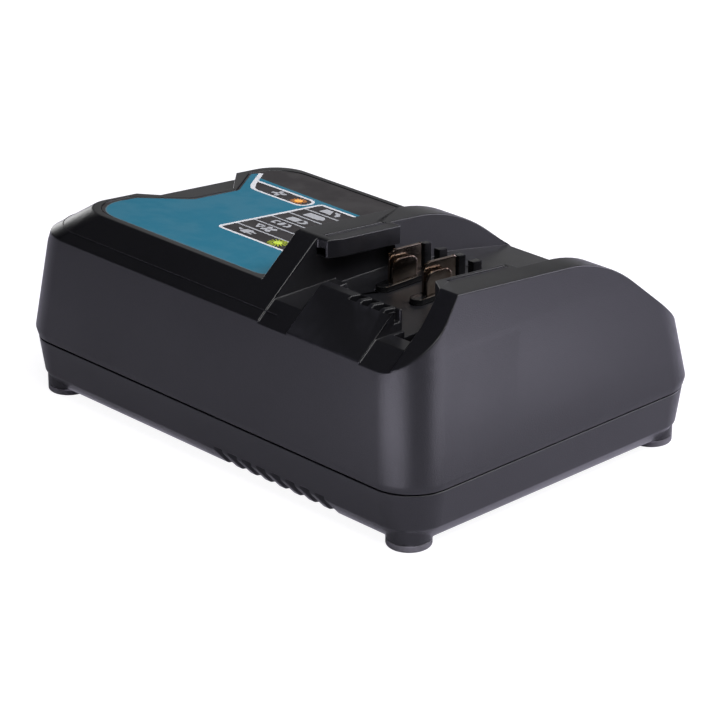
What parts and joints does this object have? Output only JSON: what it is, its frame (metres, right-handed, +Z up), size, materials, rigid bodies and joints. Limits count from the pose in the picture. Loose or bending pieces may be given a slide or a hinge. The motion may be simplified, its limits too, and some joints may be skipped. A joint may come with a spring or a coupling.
{
  "type": "power tool battery charger",
  "caption": "Mains charger for slide-in power tool batteries: tilted label plateau, open bay with two rails, blade terminals, floor vents and a cooling fan inside.",
  "frame": {"origin": "on the ground under the middle of the outline", "axes": "+X along the charger from the label end to the battery bay, +Y from the open mouth of the bay to the sloped front, +Z up"},
  "size_m": [0.191, 0.1354, 0.0803],
  "materials": {
    "case_plastic": "fine-textured black-grey plastic",
    "label_film": "printed film, satin black",
    "green_lens": "clear lens over a green lamp",
    "orange_lens": "clear lens over an orange lamp",
    "foot_rubber": "soft grey-black rubber",
    "gland_rubber": "black rubber",
    "screw_steel": "zinc plated",
    "board_laminate": "green solder mask",
    "insulating_film": "milky film",
    "ferrite": "dark grey ferrite",
    "choke_winding": "enamelled copper wire",
    "winding_tape": "yellow tape",
    "capacitor_sleeve": "shrink sleeve",
    "capacitor_case": "moulded case",
    "package_resin": "moulded resin",
    "connector_nylon": "white nylon",
    "fuse_metal": "end caps and glass",
    "heat_sink": "extruded",
    "green_led": "tinted resin",
    "orange_led": "tinted resin",
    "block_plastic": "glass-filled nylon",
    "terminal_nickel": "nickel plated",
    "lead_red": "vinyl insulation",
    "lead_black": "vinyl insulation",
    "fan_plastic": "moulded",
    "duct_plastic": "moulded",
    "bearing_bronze": "sintered bronze",
    "shaft_steel": "ground",
    "stator_steel": "laminated stack"
  },
  "bodies": {
    "charger": {"air_duct": "duct_plastic", "alarm_led": "orange_led", "alarm_light_pipe": "orange_lens", "board_screws": "screw_steel", "bridge_rectifier": "package_resin", "bulk_capacitor": "capacitor_sleeve", "case_screws": "screw_steel", "charge_led": "green_led", "charge_light_pipe": "green_lens", "cord_gland": "gland_rubber", "fan_bearing": "bearing_bronze", "fan_frame": "fan_plastic", "fan_screws": "screw_steel", "fan_stator": "stator_steel", "foot_front_left": "foot_rubber", "foot_front_right": "foot_rubber", "foot_rear_left": "foot_rubber", "foot_rear_right": "foot_rubber", "fuse": "fuse_metal", "indicator_board": "board_laminate", "indicator_screws": "screw_steel", "insulating_sheet": "insulating_film", "label_overlay": "label_film", "line_capacitor": "capacitor_case", "line_choke": "choke_winding", "lower_case": "case_plastic", "main_board": "board_laminate", "mains_connector": "connector_nylon", "output_capacitors": "capacitor_sleeve", "output_lead_negative": "lead_black", "output_lead_positive": "lead_red", "output_rectifier": "package_resin", "primary_heat_sink": "heat_sink", "secondary_heat_sink": "heat_sink", "switching_transistor": "package_resin", "terminal_block": "block_plastic", "terminal_board": "board_laminate", "terminal_negative": "terminal_nickel", "terminal_positive": "terminal_nickel", "terminal_screws": "screw_steel", "transformer_core": "ferrite", "transformer_winding": "winding_tape", "upper_case": "case_plastic"},
    "fan": {"fan_rotor": "fan_plastic", "fan_shaft": "shaft_steel"}
  },
  "joints": [
    {"name": "fan_spin", "type": "hinge", "parent": "charger", "child": "fan", "pos_m": [0.044, -0.027, 0.0278], "axis": [0, 0, 1], "continuous": true}
  ]
}
